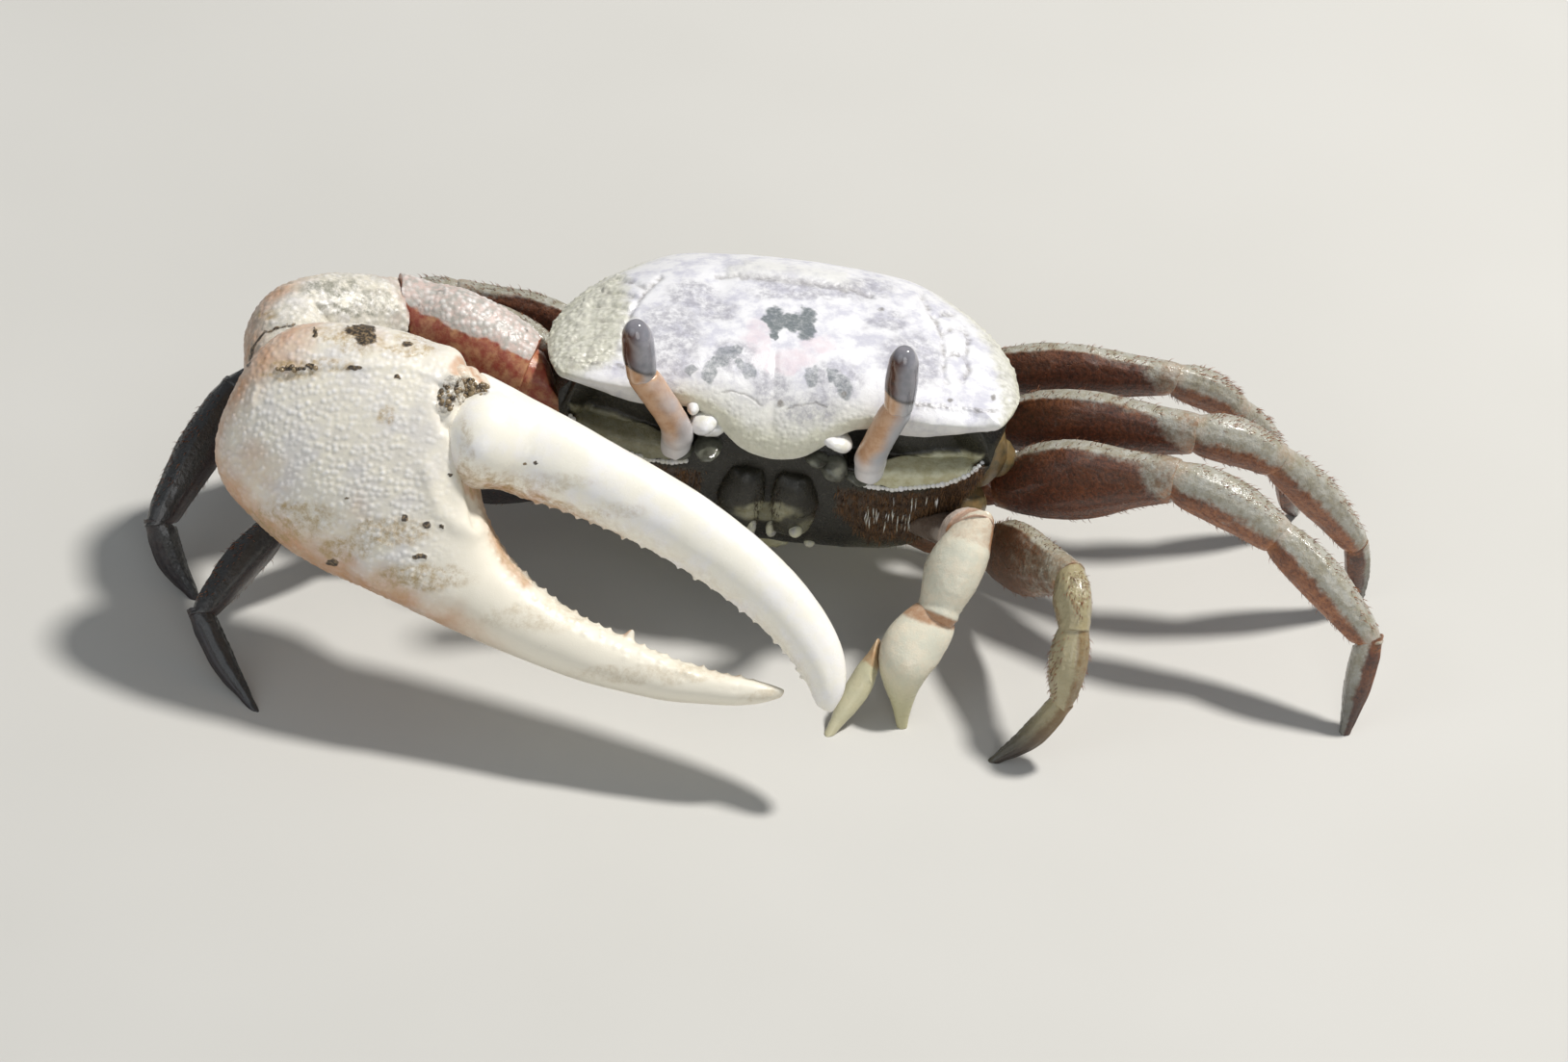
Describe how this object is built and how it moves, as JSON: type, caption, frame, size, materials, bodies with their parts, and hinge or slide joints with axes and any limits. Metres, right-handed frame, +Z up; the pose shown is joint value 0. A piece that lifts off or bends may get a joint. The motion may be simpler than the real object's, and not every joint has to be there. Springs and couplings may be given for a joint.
{
  "type": "fiddler crab, still model",
  "caption": "Life-size still model of a male fiddler crab standing on its legs, one very large claw folded across its front, eyes raised on stalks.",
  "frame": {"origin": "on the floor, under the middle of the whole crab's extent", "axes": "+X towards the crab's left side, -Y the way it faces, +Z up"},
  "size_m": [0.0886, 0.0424, 0.0263],
  "materials": {
    "shell": "chalky white shell, faintly lilac, with grey-green marks",
    "belly": "damp olive brown, hairy at the front",
    "mouth": "wet dark olive plates",
    "stalk": "peach orange fading to white",
    "cornea": "glossy dark brown-grey",
    "claw": "cream white with small white granules and tan stains",
    "finger": "smooth ivory",
    "arm": "pink-white above, red-brown on the face",
    "leg": "rust brown velvet with wet grey upper edges",
    "minor": "cream with orange joints"
  },
  "bodies": {
    "root": {"carapace": "shell", "underside": "belly", "abdomen": "belly", "mouth_left": "mouth", "eyestalk_left": "stalk", "eye_left": "cornea", "mouth_right": "mouth", "eyestalk_right": "stalk", "eye_right": "cornea", "major_base": "arm", "major_merus": "arm", "major_carpus": "claw", "major_palm": "claw", "major_finger": "finger", "minor_base": "minor", "minor_merus": "minor", "minor_carpus": "minor", "minor_palm": "minor", "minor_finger": "minor", "leg2_left_base": "leg", "leg2_left_merus": "leg", "leg2_left_carpus": "leg", "leg2_left_propodus": "leg", "leg2_left_dactyl": "leg", "leg2_right_base": "leg", "leg2_right_merus": "leg", "leg2_right_carpus": "leg", "leg2_right_propodus": "leg", "leg2_right_dactyl": "leg", "leg3_left_base": "leg", "leg3_left_merus": "leg", "leg3_left_carpus": "leg", "leg3_left_propodus": "leg", "leg3_left_dactyl": "leg", "leg3_right_base": "leg", "leg3_right_merus": "leg", "leg3_right_carpus": "leg", "leg3_right_propodus": "leg", "leg3_right_dactyl": "leg", "leg4_left_base": "leg", "leg4_left_merus": "leg", "leg4_left_carpus": "leg", "leg4_left_propodus": "leg", "leg4_left_dactyl": "leg", "leg4_right_base": "leg", "leg4_right_merus": "leg", "leg4_right_carpus": "leg", "leg4_right_propodus": "leg", "leg4_right_dactyl": "leg", "leg5_left_base": "leg", "leg5_left_merus": "leg", "leg5_left_carpus": "leg", "leg5_left_propodus": "leg", "leg5_left_dactyl": "leg", "leg5_right_base": "leg", "leg5_right_merus": "leg", "leg5_right_carpus": "leg", "leg5_right_propodus": "leg", "leg5_right_dactyl": "leg"}
  },
  "joints": []
}
